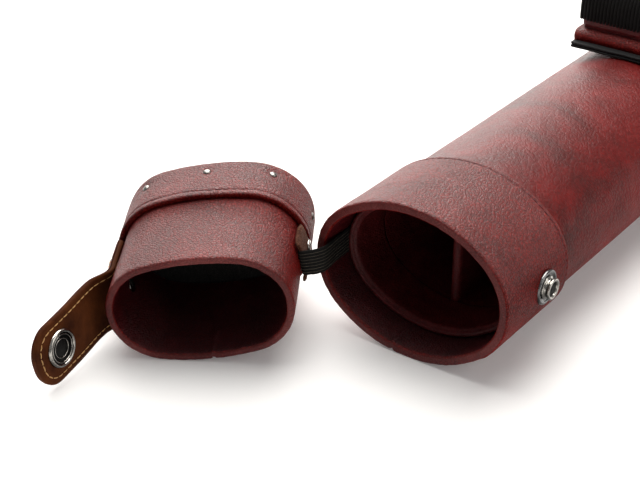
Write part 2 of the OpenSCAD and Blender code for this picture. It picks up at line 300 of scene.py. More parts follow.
def sheet_faces(rows, cols):
    """Faces of a sheet made of two grids of points, the second behind the first, closed round."""
    n = rows * cols
    front = grid_faces(rows, cols)
    border = (list(range(cols)) + [i * cols + cols - 1 for i in range(1, rows)]
              + [(rows - 1) * cols + i for i in range(cols - 2, -1, -1)]
              + [i * cols for i in range(rows - 2, 0, -1)])
    return (front + [tuple(v + n for v in face) for face in front]
            + [(a, b, b + n, a + n) for a, b in zip(border, border[1:] + border[:1])])


def band_faces(rows, cols):
    """Faces of a flat band made of closed rings of points, its two ends closed by rungs."""
    faces = grid_faces(rows, cols, False, True)
    for base in (0, (rows - 1) * cols):
        faces += [(base + k, base + k + 1, base + cols - 2 - k, base + cols - 1 - k)
                  for k in range(cols // 2 - 1)]
    return faces


def moved(part, matrix):
    points, faces = part
    m = np.array(matrix)
    return points @ m[:3, :3].T + m[:3, 3], faces


def frame_matrix(origin, x_axis, z_axis):
    """A matrix whose +X and +Z run along the given directions."""
    x = Vector(x_axis).normalized()
    y = Vector(z_axis).cross(x).normalized()
    z = x.cross(y)
    m = Matrix.Identity(4)
    for row in range(3):
        m[row][0], m[row][1], m[row][2], m[row][3] = x[row], y[row], z[row], origin[row]
    return m


def rope(path, radius, sides=8, closed=False):
    """Points and faces of a round strand along 3-D points."""
    path = [Vector(p) for p in path]
    n = len(path)
    points = []
    up = None
    for i in range(n):
        a = path[(i - 1) % n] if closed or i else path[i]
        b = path[(i + 1) % n] if closed or i < n - 1 else path[i]
        d = (b - a).normalized()
        if up is None:
            up = d.orthogonal().normalized()
        up = (up - d * up.dot(d)).normalized()
        side = d.cross(up)
        for k in range(sides):
            t = 2 * math.pi * k / sides
            points.append(path[i] + (up * math.cos(t) + side * math.sin(t)) * radius)
    faces = grid_faces(n, sides, closed, True)
    if not closed:
        faces += [tuple(range(sides)), tuple(range((n - 1) * sides, n * sides))]
    return np.array([tuple(p) for p in points]), faces


def stitch(a, b, out, radius, rise):
    """One stitch from a to b that arches a little along out."""
    a, b, out = Vector(a), Vector(b), Vector(out)
    steps, sunk_end = 5, 0.22
    path = []
    for k in range(steps + 1):
        t = k / steps
        height = math.sin(math.pi * t) * rise - sunk_end * (1 - math.sin(math.pi * t))
        path.append(a.lerp(b, t) + out * height)
    return rope(path, radius, 6)


# ---- Materials ----
class Shader:
    """A node material with short calls for the nodes used here."""

    def __init__(self, name):
        self.material = bpy.data.materials.new(name)
        self.material.use_nodes = True
        self.tree = self.material.node_tree
        self.bsdf = self.tree.nodes["Principled BSDF"]
        coords = self.add("TexCoord")
        self.mm = self.vector_math("SCALE", coords.outputs["Object"], scale=1000)

    def socket(self, node, value, index):
        if isinstance(value, bpy.types.NodeSocket):
            self.tree.links.new(value, node.inputs[index])
        else:
            node.inputs[index].default_value = value

    def add(self, kind, **inputs):
        """A node with values or links for its named inputs."""
        node = self.tree.nodes.new("ShaderNode" + kind)
        for name, value in inputs.items():
            self.socket(node, value, name)
        return node

    def vector_math(self, op, a, b=None, scale=None):
        node = self.add("VectorMath")
        node.operation = op
        self.socket(node, a, 0)
        if b is not None:
            self.socket(node, b, 1)
        if scale is not None:
            node.inputs["Scale"].default_value = scale
        return node.outputs[0]

    def noise(self, scale, detail=3, rough=0.55, distortion=0.0):
        return self.add("TexNoise", Vector=self.mm, Scale=scale, Detail=detail, Roughness=rough,
                        Distortion=distortion).outputs["Fac"]

    def cells(self, scale, feature, vector):
        node = self.add("TexVoronoi", Vector=vector, Scale=scale)
        node.feature = feature
        return node.outputs["Distance"]

    def warped(self, amount, scale):
        """Coordinates pushed about by noise, so that a pattern isn't regular."""
        node = self.add("TexNoise", Vector=self.mm, Scale=scale)
        shift = self.vector_math("SCALE", node.outputs["Color"], scale=amount)
        return self.vector_math("ADD", self.mm, shift)

    def ramp(self, value, *stops):
        node = self.add("ValToRGB", Fac=value)
        elements = node.color_ramp.elements
        while len(elements) < len(stops):
            elements.new(0.5)
        for element, (position, colour) in zip(elements, stops):
            element.position = position
            element.color = (*colour, 1) if isinstance(colour, tuple) else (colour,) * 3 + (1,)
        return node.outputs["Color"]

    def maths(self, op, a, b=0.0, third=0.0):
        node = self.add("Math")
        node.operation = op
        self.socket(node, a, 0)
        self.socket(node, b, 1)
        self.socket(node, third, 2)
        return node.outputs[0]

    def mix(self, factor, a, b, mode="MIX"):
        node = self.add("Mix")
        node.data_type = "RGBA"
        node.blend_type = mode
        self.socket(node, factor, 0)
        self.socket(node, a if not isinstance(a, tuple) else (*a, 1), 6)
        self.socket(node, b if not isinstance(b, tuple) else (*b, 1), 7)
        return node.outputs[2]

    def upward(self):
        """How far the surface faces up, from 0 below to 1 on top: used to paint sheen, light and shade by
        facing.
        """
        geometry = self.add("NewGeometry")
        facing = self.add("SeparateXYZ", Vector=geometry.outputs["Normal"])
        return self.maths("MULTIPLY_ADD", facing.outputs["Z"], 0.5, third=0.5)

    def bump(self, height, strength, distance_mm, normal=None):
        node = self.add("Bump", Strength=strength, Distance=distance_mm * MM, Height=height)
        if normal is not None:
            self.tree.links.new(normal, node.inputs["Normal"])
        return node.outputs["Normal"]

    def finish(self, colour, roughness, normal=None, **constants):
        self.socket(self.bsdf, colour if not isinstance(colour, tuple) else (*colour, 1), "Base Color")
        self.socket(self.bsdf, roughness, "Roughness")
        if normal is not None:
            self.tree.links.new(normal, self.bsdf.inputs["Normal"])
        for name, value in constants.items():
            self.bsdf.inputs[name.replace("_", " ")].default_value = value
        return self.material


def leatherette(name, dark, mid, light, grain, pebble, smoke, gloss, sheen=0.6, fade=True):
    """Leatherette: smoky patches, then a net of fine creases round small raised cells; the cells are
    coloured lighter towards their middles, and the creases are darkened as painted shade. The sheen
    is painted by facing: strongest on top and, with fade, gone where the surface faces down."""
    s = Shader(name)
    warp = s.warped(1.6, 0.35)
    patches = s.noise(0.028, detail=4, rough=0.6, distortion=0.6)
    fine = s.noise(0.9 * grain, detail=3, rough=0.6)
    cells = s.cells(0.62 * grain, "F1", warp)
    creases = s.cells(0.62 * grain, "DISTANCE_TO_EDGE", warp)
    small = s.cells(1.5 * grain, "DISTANCE_TO_EDGE", warp)
    base = s.ramp(patches, (0.32, dark), (0.52, mid), (0.72, light))
    # The cells coloured lighter towards their middles, away from the creases.
    cell_middles = s.ramp(creases, (0.0, 0.0), (0.28, 1.0))
    lighter = s.mix(s.maths("MULTIPLY", cell_middles, 0.6 * pebble), base, light)
    shade = s.ramp(fine, (0.36, 0.5), (0.64, 1.3))
    colour = s.mix(smoke, lighter, shade, "MULTIPLY")
    # Painted shade: the creases between the cells darkened.
    colour = s.mix(pebble, colour, s.ramp(creases, (0.0, 0.2), (0.22, 1.0)), "MULTIPLY")
    domes = s.maths("SUBTRACT", 1.0, cells)
    height = s.maths("ADD", s.maths("MULTIPLY", s.ramp(creases, (0.0, 0.0), (0.2, 1.0)), 0.6),
                     s.maths("MULTIPLY", s.ramp(small, (0.0, 0.0), (0.3, 1.0)), 0.4))
    height = s.maths("ADD", height, s.maths("MULTIPLY", domes, 0.3))
    normal = s.bump(height, min(1.0, 1.2 * pebble), 0.6)
    normal = s.bump(s.noise(0.12, detail=2), 0.3, 1.4, normal)
    rough = s.ramp(fine, (0.3, gloss - 0.06), (0.7, gloss + 0.1))
    # Sheen painted by facing: the specular level follows how far the surface faces up, strongest on top.
    below, flank = (0.02, 0.07) if fade else (sheen, sheen)
    painted_top_sheen = s.ramp(s.upward(), (0.25, below), (0.62, flank), (0.97, sheen))
    s.tree.links.new(painted_top_sheen, s.bsdf.inputs["Specular IOR Level"])
    return s.finish(colour, rough, normal)


def suede():
    s = Shader("suede")
    fibres = s.noise(2.2, detail=5, rough=0.75)
    patches = s.noise(0.09, detail=4, rough=0.6)
    base = s.ramp(patches, (0.3, (0.036, 0.009, 0.003)), (0.7, (0.100, 0.028, 0.007)))
    colour = s.mix(0.6, base, s.ramp(fibres, (0.3, 0.55), (0.7, 1.25)), "MULTIPLY")
    return s.finish(colour, 0.75, s.bump(fibres, 0.6, 0.25), Specular_IOR_Level=0.06)


def metal(name, colour, rough):
    """Plated metal with light painted in: a painted highlight where it faces up and painted shade on its
    dark flanks, as under a studio's top light.
    """
    s = Shader(name)
    scratches = s.noise(1.2, detail=4, rough=0.7)
    # Painted light and shade: the colour runs from dark on the flanks to bright where the surface faces up.
    top_light_and_scratches = s.maths("MULTIPLY_ADD", scratches, 0.4, third=s.upward())
    flank = tuple(0.10 * c for c in colour)
    varied = s.ramp(scratches, (0.35, rough * 0.7), (0.7, rough * 1.6))
    return s.finish(s.ramp(top_light_and_scratches, (0.62, flank), (1.0, colour)), varied,
                    s.bump(s.noise(0.5, detail=3), 0.12, 0.15), Metallic=1.0)


def woven(name, dark, light, scale=1.6, rough=0.8):
    s = Shader(name)
    threads = s.noise(scale, detail=4, rough=0.7)
    colour = s.ramp(threads, (0.35, dark), (0.7, light))
    return s.finish(colour, rough, s.bump(threads, 0.5, 0.2), Specular_IOR_Level=0.12)


def thread(name, colour):
    s = Shader(name)
    twist = s.noise(3.0, detail=2)
    shade = s.ramp(twist, (0.3, 0.6), (0.7, 1.15))
    return s.finish(s.mix(0.7, colour, shade, "MULTIPLY"), 0.6, s.bump(twist, 0.5, 0.15))


def board(name, dark, light):
    s = Shader(name)
    fibres = s.noise(0.8, detail=5, rough=0.7)
    return s.finish(s.ramp(fibres, (0.3, dark), (0.7, light)), 0.85, s.bump(fibres, 0.3, 0.2))


COLLAR_LEATHER = leatherette("collar_leatherette", (0.100, 0.005, 0.004), (0.170, 0.008, 0.006),
                             (0.25, 0.021, 0.018), grain=1.0, pebble=0.55, smoke=0.7, gloss=0.42,
                             sheen=0.52)
TUBE_LEATHER = leatherette("tube_leatherette", (0.060, 0.006, 0.005), (0.135, 0.006, 0.005),
                           (0.205, 0.013, 0.012), grain=0.8, pebble=0.25, smoke=0.4, gloss=0.38,
                           sheen=0.32)
# A darker copy of the leather for the inside of a mouth: painted shade.
SHADED_INNER_LEATHER = leatherette("shaded_inner_leatherette", (0.040, 0.003, 0.004), (0.080, 0.006, 0.008),
                            (0.13, 0.014, 0.017), grain=1.15, pebble=0.5, smoke=0.5, gloss=0.4)
# A pinker copy of the leather for a mouth's edge, with sheen at every facing: painted highlight.
LIT_RIM_LEATHER = leatherette("lit_rim_leatherette", (0.080, 0.008, 0.008), (0.125, 0.016, 0.015),
                          (0.21, 0.042, 0.038), grain=1.3, pebble=0.35, smoke=0.5, gloss=0.45,
                          sheen=0.22, fade=False)
LINING_LEATHER = leatherette("lining_leatherette", (0.050, 0.005, 0.005), (0.095, 0.008, 0.009),
                             (0.150, 0.018, 0.018), grain=1.2, pebble=0.3, smoke=0.4, gloss=0.42,
                             sheen=0.28, fade=False)
SUEDE = suede()
EDGE_LEATHER = leatherette("raw_edge", (0.09, 0.025, 0.012), (0.17, 0.055, 0.030), (0.30, 0.14, 0.09),
                           grain=1.8, pebble=0.8, smoke=0.8, gloss=0.7, sheen=0.1)
NICKEL = metal("nickel", (0.66, 0.63, 0.58), 0.17)
DARK_NICKEL = metal("dark_nickel", (0.26, 0.26, 0.26), 0.22)
TACK_STEEL = metal("tack_steel", (0.34, 0.33, 0.31), 0.3)
ELASTIC = woven("elastic", (0.003, 0.003, 0.003), (0.016, 0.015, 0.014), 2.4)
RIBBED_CLOTH = woven("ribbed_cloth", (0.008, 0.008, 0.008), (0.040, 0.038, 0.036), 2.4)
# Warm grey for the thin lines in the grooves between an elastic's ribs.
LIGHT_GROOVE_LINES = woven("light_groove_lines", (0.05, 0.045, 0.035), (0.16, 0.14, 0.11), 2.0, 0.5)
# Near-black for the floor of the snap socket and the stud's hollow: painted shade.
SHADE_BLACK = woven("painted_shade_black", (0.002, 0.002, 0.002), (0.010, 0.009, 0.009), 2.0, 0.6)
BINDING = woven("binding", (0.008, 0.008, 0.008), (0.034, 0.034, 0.036), 3.0, 0.55)
FELT = woven("felt", (0.01, 0.01, 0.01), (0.03, 0.03, 0.03), 1.2, 0.95)
RED_THREAD = thread("red_thread", (0.10, 0.012, 0.016))
GOLD_THREAD = thread("gold_thread", (0.55, 0.30, 0.10))
BOARD = board("board", (0.10, 0.075, 0.05), (0.2, 0.16, 0.12))
WOOD = board("end_wood", (0.30, 0.19, 0.10), (0.48, 0.33, 0.19))


# ---- Case ----
SEAM_WIDTH, SEAM_DEPTH = 0.7, 1.2


def seam(s, centre):
    """The groove of a butted seam, at a distance s round the section."""
    return -SEAM_DEPTH * math.exp(-((s - centre) / SEAM_WIDTH) ** 2)


COLLAR_SEAM = CASE_OVAL.length - 8.0


def collar_relief(x, y, z, s, inset):
    out = 0.22 * soft_noise((x, y, z), 0.045) + 0.10 * soft_noise((x, y, z), 0.16)
    if y < 4:
        out += 0.16 * soft_noise((x, y, z), 0.45)
    if y < 20:
        out += seam(s, COLLAR_SEAM)
    foot = -(z) - (COLLAR_H / 2 - FOOT_TRIM)
    if inset < 1 and foot > -1.2:
        out = min(out, 0) - max(0, foot + 0.05)
    return out


def collar():
    back = COLLAR_LEN
    profile = [
        (back, 4.45), (back, 3.0), (back - 0.1, 1.1), (back - 0.5, 0.4), (back - 1.1, 0.05),
        (back - 1.8, 0.0), (back - 2.4, 0.12), (back - 2.75, 0.42), (back - 3.1, 0.12),
        (back - 3.8, 0.02), (back - 8, 0.0), (6, 0.0), (2.2, 0.0), (1.2, 0.05), (0.5, 0.25),
        (0.12, 0.7), (0.02, 1.4), (0.08, 2.25), (0.02, 3.1), (0.12, 3.8), (0.5, 4.25),
        (1.2, 4.45), (2.2, 4.5), (20, 4.5), (back - 2, 4.5),
    ]
    skin("collar_leather", CASE_OVAL, profile, COLLAR_LEATHER, "case", "leatherette", CASE_PLACE,
         collar_relief, step=1.2, zones=mouth_zones(SLEEVE_T), replaces=["collar_cover", "collar_core"])


def ring_stitches(name, oval, y, inset, place, body):
    """A row of stitches round a section."""
    pitch, length, thread_r = 3.7, 2.9, 0.3
    count = int(oval.length / pitch)
    parts = []
    for k in range(count):
        s = (k + 0.5) * oval.length / count
        ends = []
        for offset in (-length / 2, length / 2):
            point, normal = oval.at(s + offset)
            spot = point - normal * inset
            ends.append((spot[0], y, spot[1]))
        parts.append(stitch(ends[0], ends[1], (normal[0], 0, normal[1]), thread_r, 0.12))
    piece(name, *merge(parts), RED_THREAD, body, "leatherette", place)


def tube_relief(x, y, z, s, inset):
    return 0.20 * soft_noise((x, y * 0.6, z), 0.03) + 0.07 * soft_noise((x, y, z), 0.11)


def tube():
    start, end = box_mm("tube_cover")[0][1], box_mm("tube_cover")[1][1]
    front, back = COLLAR_LEN + 0.05, SLEEVE_START - 0.05
    profile = [
        (start, SLEEVE_T + 0.05), (front, SLEEVE_T + 0.05), (front, TUBE_IN + 0.3), (front + 0.4, TUBE_IN),
        (back - 0.4, TUBE_IN), (back, TUBE_IN + 0.3), (back, SLEEVE_T + 0.05), (end, SLEEVE_T + 0.05),
        (end, CORE_OUT), (start, CORE_OUT),
    ]
    skin("tube_leather", CASE_OVAL, profile, TUBE_LEATHER, "case", "leatherette", CASE_PLACE,
         tube_relief, step=4.0, replaces=["tube_cover"])


def mouth_lining():
    ring, back = RING_DEPTH, DIVIDER_DEPTH
    profile = [
        (ring + 2.5, 5.75), (ring + 1.2, 5.6), (ring + 0.4, 5.9), (ring, 6.6), (ring + 0.05, 7.3),
        (ring + 0.5, 7.9), (ring + 1.1, 8.1), (ring + 1.5, 8.5), (ring + 1.9, 9.1),
        (ring + 2.8, 9.38), (ring + 5, LINER_IN), (back, LINER_IN), (back, 8.25), (ring + 2.6, 8.25),
    ]
    skin("mouth_lining", CASE_OVAL, profile, LINING_LEATHER, "case", "lining", CASE_PLACE,
         lambda x, y, z, s, inset: 0.12 * soft_noise((x, y, z), 0.2), step=1.5,
         replaces=["mouth_ring", "mouth_liner"])


def divider_edge():
    """The rounded leather edge at the front of the divider."""
    half_h = COLLAR_H / 2 - LINER_IN
    levels, cols = 25, 11
    points = []
    for k in range(levels):
        z = -half_h + 2 * half_h * k / (levels - 1)
        for a in np.linspace(-90, 90, cols):
            t = math.radians(a)
            points.append((math.sin(t) * 2.45, DIVIDER_DEPTH - math.cos(t) * 2.2 + 0.3, z))
    faces = grid_faces(levels, cols, False, True)
    faces += [tuple(range(cols)), tuple(range((levels - 1) * cols, levels * cols))]
    piece("divider_edge", points, faces, LINING_LEATHER, "case", "lining", CASE_PLACE)


def back_end():
    start, end = SLEEVE_START, CASE_LEN
    profile = [
        (start, 4.4), (start + 0.05, 2.6), (start + 0.3, 0.8), (start + 0.9, 0.1), (start + 1.8, 0.0),
        (start + 2.5, 0.12), (start + 2.8, 0.42), (start + 3.2, 0.12), (start + 4, 0.0),
        (end - 2.5, 0.0), (end - 1.1, 0.15), (end - 0.3, 0.8), (end, 1.9), (end - 0.2, 3.2),
        (end - 0.8, 4.2), (end - 1.6, 4.5),
    ]
    skin("back_sleeve_leather", CASE_OVAL, profile, COLLAR_LEATHER, "case", "leatherette",
         CASE_PLACE, collar_relief, step=1.5, replaces=["back_sleeve"])
    disc("end_cover_leather", CASE_OVAL, SLEEVE_T, end - 1.2, 1.0, "case", CASE_PLACE, ["end_cover"])


def disc(name, oval, inset, y, crown, body, place, replaces):
    """A slightly crowned end cover, thick enough to be a solid."""
    rings = []
    steps = 14
    for k in range(steps + 1):
        t = k / steps
        ring = oval.ring(y, inset)
        ring[:, 0] *= 1 - t
        ring[:, 2] *= 1 - t
        ring[:, 1] = y + crown * (1 - (1 - t) ** 2.5)
        rings.append(ring)
    points = np.concatenate(rings[:-1])
    last = len(points)
    points = np.concatenate([points, [[0, y + crown, 0]]])
    faces = grid_faces(steps, oval.count, False, True)
    base = (steps - 1) * oval.count
    faces += [(base + j, base + (j + 1) % oval.count, last) for j in range(oval.count)]
    rim = oval.ring(y - 1.5, inset)
    start = len(points)
    points = np.concatenate([points, rim, [[0, y - 1.5, 0]]])
    n = oval.count
    faces += [(j, (j + 1) % n, start + (j + 1) % n, start + j) for j in range(n)]
    faces += [(start + j, start + (j + 1) % n, start + n) for j in range(n)]
    piece(name, points, faces, COLLAR_LEATHER, body, "leatherette", place, replaces)


def tacks(name, oval, rise, y, angles, body, place, replaces):
    dome = [(0.02, 0.75), (0.6, 0.7), (1.2, 0.55), (1.6, 0.3), (1.8, 0.05), (1.85, -0.1),
            (1.9, -0.25), (0.75, -0.3), (0.7, -1.0), (0.02, -1.0)]
    parts = []
    for a in angles:
        point, normal = oval.facing(a)
        spot = point + normal * (rise + 0.05)
        parts.append(moved(revolve(dome, 28),
                           frame_matrix((spot[0], y, spot[1]), (normal[0], 0, normal[1]), (0, 1, 0))))
    piece(name, *merge(parts), TACK_STEEL, body, "nickel", place, replaces)


def stud():
    floor = COLLAR_W / 2 - 1
    place = Matrix.Translation((0, STUD_DEPTH, AXIS_Z))
    plate = [(1.8, floor), (7.6, floor), (8.1, floor + 0.35), (8.25, floor + 0.9), (8.0, floor + 1.5),
             (7.5, floor + 1.85), (6.9, floor + 1.75), (6.5, floor + 1.4), (6.2, floor + 1.15),
             (5.6, floor + 1.1), (1.8, floor + 1.1)]
    top = floor + 1.2 + STUD_H
    post = [(0.3, floor + 1.1), (5.3, floor + 1.15), (5.5, floor + 1.5), (5.2, floor + 1.85),
            (4.6, floor + 2.1), (4.25, floor + 2.5), (4.2, floor + 3.0), (4.5, floor + 3.4),
            (4.95, floor + 3.8), (5.1, floor + 4.2), (4.95, floor + 4.6), (4.55, top),
            (4.0, top - 0.05), (3.6, top - 0.35), (3.3, top - 0.9), (3.2, floor + 2.4),
            (2.9, floor + 2.1), (2.6, floor + 2.5), (2.1, floor + 2.75), (1.4, floor + 2.6),
            (1.1, floor + 2.0), (0.3, floor + 1.9)]
    hollow = [(0.02, top - 0.9), (3.35, top - 0.9), (3.35, top - 1.4), (0.02, top - 1.4)]
    piece("stud_plate_ring", *revolve(plate, 64), DARK_NICKEL, "case", "nickel", place, ["stud_plate"])
    piece("stud_post_ring", *revolve(post, 64), NICKEL, "case", "nickel", place, ["stud_post"])
    # A near-black disc in the post's hollow: painted shade.
    piece("stud_hollow", *revolve(hollow, 40), SHADE_BLACK, "case", "nickel", place)


# ---- Cap ----
CAP_SEAM = 1.0


def cap_relief(x, y, z, s, inset):
    out = 0.20 * soft_noise((x, y + 300, z), 0.05) + 0.08 * soft_noise((x, y, z + 90), 0.17)
    if y < 4:
        out += 0.18 * soft_noise((x, y, z), 0.4)
    if y < 20:
        out += seam((s + CAP_OVAL.length / 2) % CAP_OVAL.length, CAP_OVAL.length / 2 + CAP_SEAM)
    return out


def cap():
    deep = CAP_LEN - 20.5
    profile = [
        (CAP_LEN - 4, 0.1), (CAP_LEN - BAND_LEN - 2, 0.0), (6, 0.0), (2.0, 0.0), (1.0, 0.08),
        (0.4, 0.35), (0.08, 0.8), (0.0, 1.3), (0.06, 1.8), (0.0, 2.3), (0.08, 2.8), (0.4, 3.25),
        (1.0, 3.52), (2.0, CAP_WALL), (deep, CAP_WALL), (CAP_LEN - 4, CAP_WALL - 0.1),
    ]
    skin("cap_leather", CAP_OVAL, profile, COLLAR_LEATHER, "cap", "leatherette", CAP_PLACE,
         cap_relief, step=1.5, zones=mouth_zones(CAP_WALL), replaces=["cap_cover", "cap_core"])
    back, front = CAP_LEN, CAP_LEN - BAND_LEN
    rise = -BAND_RISE
    band = [
        (front + 0.9, -0.2), (front + 0.3, -1.1), (front, -2.2), (front + 0.25, rise + 0.35),
        (front + 0.9, rise + 0.02), (front + 1.9, rise), (front + 3.4, rise + 0.1),
        (front + 3.9, rise + 0.5), (front + 4.4, rise + 0.1), (front + 5.4, rise),
        (back - 3.2, rise), (back - 1.6, rise + 0.1), (back - 0.6, rise + 0.7), (back - 0.1, rise + 1.7),
        (back - 0.15, rise + 2.6), (back - 0.7, -0.1), (back - 2.0, 0.4), (back - 5, 0.3),
    ]
    obj = skin("cap_band_leather", CAP_OVAL, band, COLLAR_LEATHER, "cap", "leatherette", CAP_PLACE,
               band_relief, step=1.2, replaces=["cap_band"])
    disc("cap_end_leather", CAP_OVAL, 0.2, CAP_LEN - 2.2, 1.6, "cap", CAP_PLACE, ["cap_end_cover"])


def band_relief(x, y, z, s, inset):
    out = 0.30 * soft_noise((x, y + 100, z), 0.06) + 0.10 * soft_noise((x, y, z), 0.2)
    if inset > -1.5:
        return 0.3 * out
    for a in TACK_ANGLES:
        point, normal = CAP_OVAL.facing(a)
        spot = point + normal * BAND_RISE
        d2 = (x - spot[0]) ** 2 + (z - spot[1]) ** 2 + (y - CAP_LEN + BAND_TACK_INSET) ** 2
        out -= 0.75 * math.exp(-d2 / 14.0)
    return out


def cap_end_lining():
    """The black ribbed cloth at the bottom of the cap, its ribs upright."""
    nx, nz = 160, 24
    w, h = CAP_W / 2 - CAP_WALL, CAP_H / 2 - CAP_WALL
    y = CAP_LEN - 22.0
    rows = []
    for iz in range(nz + 1):
        z = -h + 2 * h * iz / nz
        for ix in range(nx + 1):
            x = -w + 2 * w * ix / nx
            rows.append((x, y - 0.35 * (0.5 + 0.5 * math.cos(2 * math.pi * x / 1.9)), z))
    back = [(x, y + 0.8, z) for x, _, z in rows]
    points = np.array(rows + back)
    clip_to_oval(points, CAP_W - 2 * CAP_WALL, CAP_H - 2 * CAP_WALL, CAP_R - CAP_WALL)
    piece("cap_ribbed_lining", points, sheet_faces(nz + 1, nx + 1), RIBBED_CLOTH, "cap", "ribbed",
          CAP_PLACE, ["cap_end_lining"])


def clip_to_oval(points, w, h, r):
    """Pulls points that lie outside an oval in to its edge."""
    big = ((w / 2 - r) ** 2 + (h / 2) ** 2 - r * r) / (h - 2 * r)
    for p in points:
        x, z = abs(p[0]), abs(p[2])
        limit = math.sqrt(max(0.0, big * big - x * x)) + h / 2 - big
        if x > w / 2 - r:
            limit = min(limit, math.sqrt(max(0.0, r * r - (x - (w / 2 - r)) ** 2)))
        if z > limit:
            p[2] = math.copysign(limit, p[2])


def rivet(angle, depth, rise, radius, hollow=False):
    """A rivet through the cap's wall: its head outside and its washer inside."""
    point, normal = CAP_OVAL.facing(angle)
    spot = point + normal * rise
    head = [(0.02, 1.3), (radius * 0.45, 1.22), (radius * 0.8, 0.85), (radius, 0.25), (radius, -0.1),
            (radius * 0.5, -0.3), (0.02, -0.3)]
    if hollow:
        head = [(radius * 0.45, -0.3), (radius, -0.2), (radius * 1.04, 0.35), (radius * 0.92, 0.8),
                (radius * 0.7, 0.95), (radius * 0.52, 0.7), (radius * 0.45, 0.1)]
    place_here = frame_matrix((spot[0], depth, spot[1]), (normal[0], 0, normal[1]), (0, 1, 0))
    inner_spot = point - normal * (CAP_WALL + 0.2)
    washer = [(0.02, 0.9), (1.6, 0.85), (2.4, 0.5), (3.3, 0.3), (3.4, 0.0), (0.02, -0.1)]
    inward = frame_matrix((inner_spot[0], depth, inner_spot[1]), (-normal[0], 0, -normal[1]), (0, 1, 0))
    return [moved(revolve(head, 36), place_here), moved(revolve(washer, 30), inward)]


# ---- Strap ----
def strap_bow(length, z):
    """How far a point of the strap stands from its flat plane, towards the cap's axis: the edges
    fall back round the cap's side at the fold, and the leather swells outwards just past it."""
    radius = CAP_R + 0.3 + STRAP_T / 2
    fade = min(1.0, max(0.0, 1.0 - length / 11.0))
    fade = fade * fade * (3 - 2 * fade)
    swell = 0.7 * math.exp(-((length - 16.0) / 9.0) ** 2) * (1 - math.exp(-length / 3.0))
    return (radius - math.sqrt(max(0.1, radius * radius - z * z))) * fade - swell


def strap_half_width(length):
    """Half the strap's width at a distance from the fold, with a round tip."""
    total = SNAP_REACH + TIP_REACH
    corner = TIP_ROUND
    half = STRAP_W / 2
    past = length - (total - corner)
    if past <= 0:
        return half
    return half - corner + math.sqrt(max(0.0, corner * corner - past * past))


def strap_point(length, z, depth):
    """A point of the strap in the strap's own frame; depth is towards the cap's axis."""
    return depth + strap_bow(length, z), -length, z


def root_point(back, z, depth):
    """A point of the riveted root in the cap's frame; back is the distance behind the fold."""
    radius = CAP_R + 0.3 + STRAP_T / 2 - depth
    angle = z / (CAP_R + 0.3 + STRAP_T / 2)
    x = -(CAP_W / 2 - CAP_R) - radius * math.cos(angle)
    return x, FOLD_DEPTH + back, radius * math.sin(angle)


ROOT_LEN = ROOT_END - 0.2


def strap_mid(t, z, depth):
    """The strap in the row frame by distance t past the fold, negative on the riveted root."""
    flap = STRAP_PLACE @ Vector(strap_point(max(t, 0.0), z, depth))
    if t >= 6:
        return flap
    root = CAP_PLACE @ Vector(root_point(max(-t, 0.0), z, depth))
    if t <= -6:
        return root
    if t < 0:
        line = STRAP_PLACE @ Vector((depth + strap_bow(0, z), -t, z))
    else:
        line = flap
        root = CAP_PLACE @ Vector(root_point(-t, z, depth))
    w = (t + 6) / 12
    w = w * w * (3 - 2 * w)
    return root.lerp(line, w)


def strap_layer(name, d0, d1, material, slot, replaces, grow=0.0):
    """One layer of the strap, from depth d0 to d1, with its riveted root and its rounded tip."""
    total = SNAP_REACH + TIP_REACH
    tip, root_corner, edge_round = 14, 6, 0.45
    lengths = list(np.linspace(-ROOT_LEN, total - tip, 60)) + [
        total - tip + tip * math.sin(math.pi / 2 * k / 22) for k in range(1, 23)]
    across = np.linspace(-1, 1, 29)
    sides = []
    for t in lengths:
        half = strap_half_width(t) + grow
        if t < -ROOT_LEN + root_corner:
            past = -ROOT_LEN + root_corner - t
            half = half - root_corner + math.sqrt(max(0.0, root_corner ** 2 - past * past))
        ring = []
        for layer, order in ((d1, across), (d0, across[::-1])):
            for u in order:
                z = u * half
                pull = (edge_round if abs(u) > 0.985 else 0.0) * (1 if layer == d0 else -1)
                wob = 0.10 * soft_noise((t, z, 3), 0.12)
                ring.append(strap_mid(t, z, layer + pull + wob))
        sides.append(ring)
    points = np.array([tuple(p) for ring in sides for p in ring])
    faces = band_faces(len(sides), len(sides[0]))
    bend_strap(piece(name, points, faces, material, None, slot, None, replaces))


def bend_strap(obj):
    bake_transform(obj)


def strap_stitching(name, depth, material, out_sign):
    """Stitches round the strap, 3 mm inside its edge."""
    inset = 3.1
    half = STRAP_W / 2 - inset
    total = SNAP_REACH + TIP_REACH - inset
    corner = TIP_ROUND - 3.0
    line = [(t, half) for t in np.arange(-10, total - corner, 0.5)]
    line += [(total - corner + corner * math.sin(a), half - corner + corner * math.cos(a))
             for a in np.linspace(0, math.pi / 2, 30)]
    line += [(total, z) for z in np.arange(half - corner, corner - half, -0.5)]
    line += [(total - corner + corner * math.cos(a), corner - half - corner * math.sin(a))
             for a in np.linspace(0, math.pi / 2, 30)]
    line += [(t, -half) for t in np.arange(total - corner, -10, -0.5)]
    line = np.array(line)
    run = np.concatenate([[0], np.cumsum(np.hypot(*np.diff(line, axis=0).T))])
    pitch, length = 3.4, 2.7
    parts = []
    for k in range(int(run[-1] / pitch)):
        s0 = (k + 0.2) * pitch
        ends = []
        for s in (s0, s0 + length):
            t, z = np.interp(s, run, line[:, 0]), np.interp(s, run, line[:, 1])
            ends.append(strap_mid(t, z, depth))
        t, z = np.interp(s0, run, line[:, 0]), np.interp(s0, run, line[:, 1])
        out = (strap_mid(t, z, depth + 1) - strap_mid(t, z, depth)) * out_sign
        parts.append(stitch(ends[0], ends[1], out, 0.26, 0.16))
    bend_strap(piece(name, *merge(parts), material, None, "suede", None))


